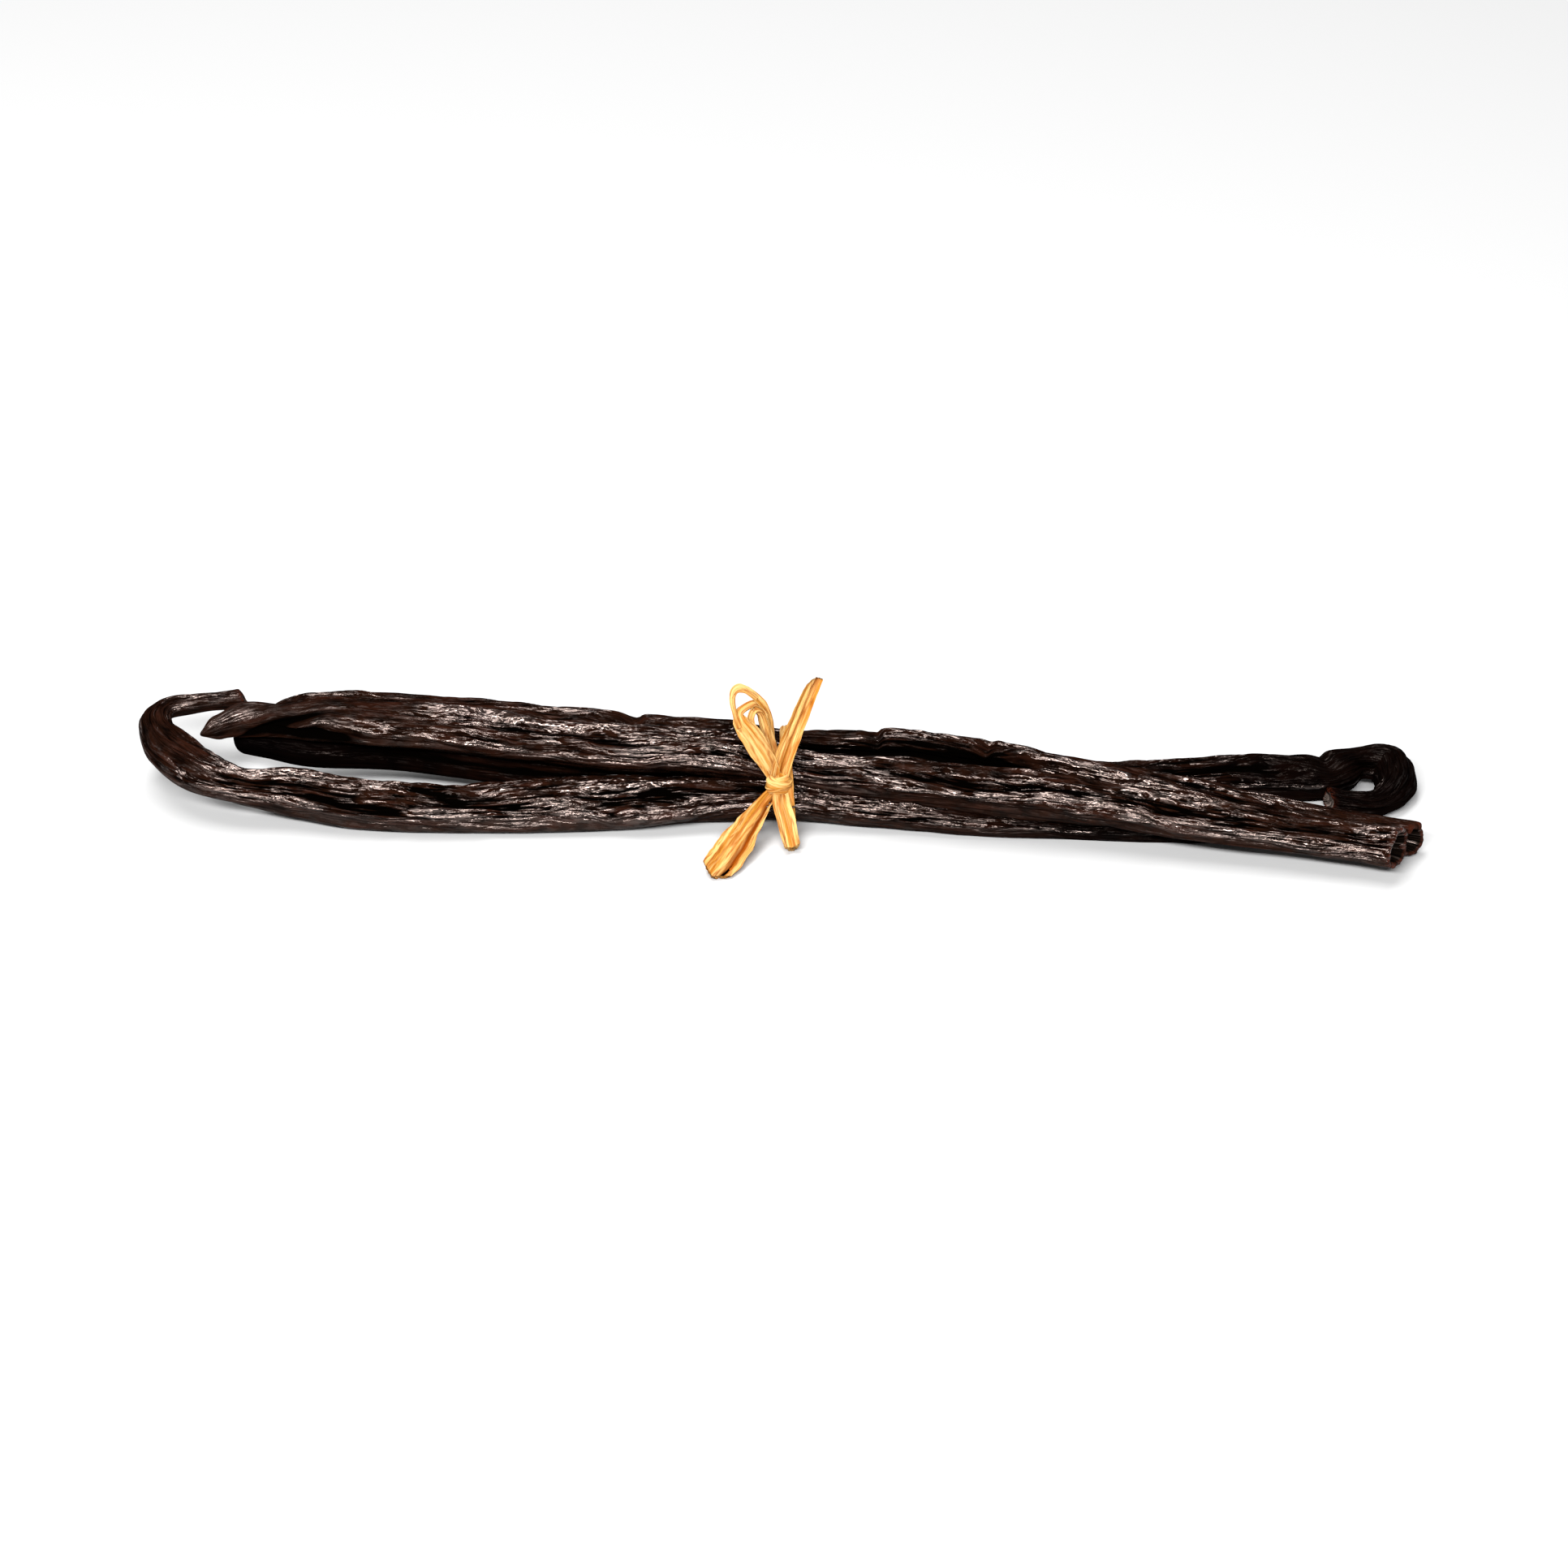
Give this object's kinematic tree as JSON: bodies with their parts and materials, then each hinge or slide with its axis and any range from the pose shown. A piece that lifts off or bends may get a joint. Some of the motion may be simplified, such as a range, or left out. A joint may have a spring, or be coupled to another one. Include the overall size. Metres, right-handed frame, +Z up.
{
  "type": "bundle of vanilla pods",
  "caption": "Long, dark, wrinkled vanilla pods lying together, tied round the middle with a knotted strip of pale raffia. One pod ends in a hook, another in a tight curl.",
  "frame": {"origin": "centre of the bundle's bounding box, on the surface that it rests on", "axes": "+X along the pods towards the end with the curl, +Y away from the side with the knot, +Z up"},
  "size_m": [0.1899, 0.0405, 0.0223],
  "materials": {
    "pod_skin": "oily dark brown cured skin with fine lengthwise wrinkles, satin",
    "raffia": "dry pale straw fibre, matte with a faint sheen"
  },
  "bodies": {
    "root": {"pod_front": "pod_skin", "pod_hooked": "pod_skin", "pod_curled": "pod_skin", "pod_rear": "pod_skin", "raffia_tie": "raffia"}
  },
  "joints": []
}
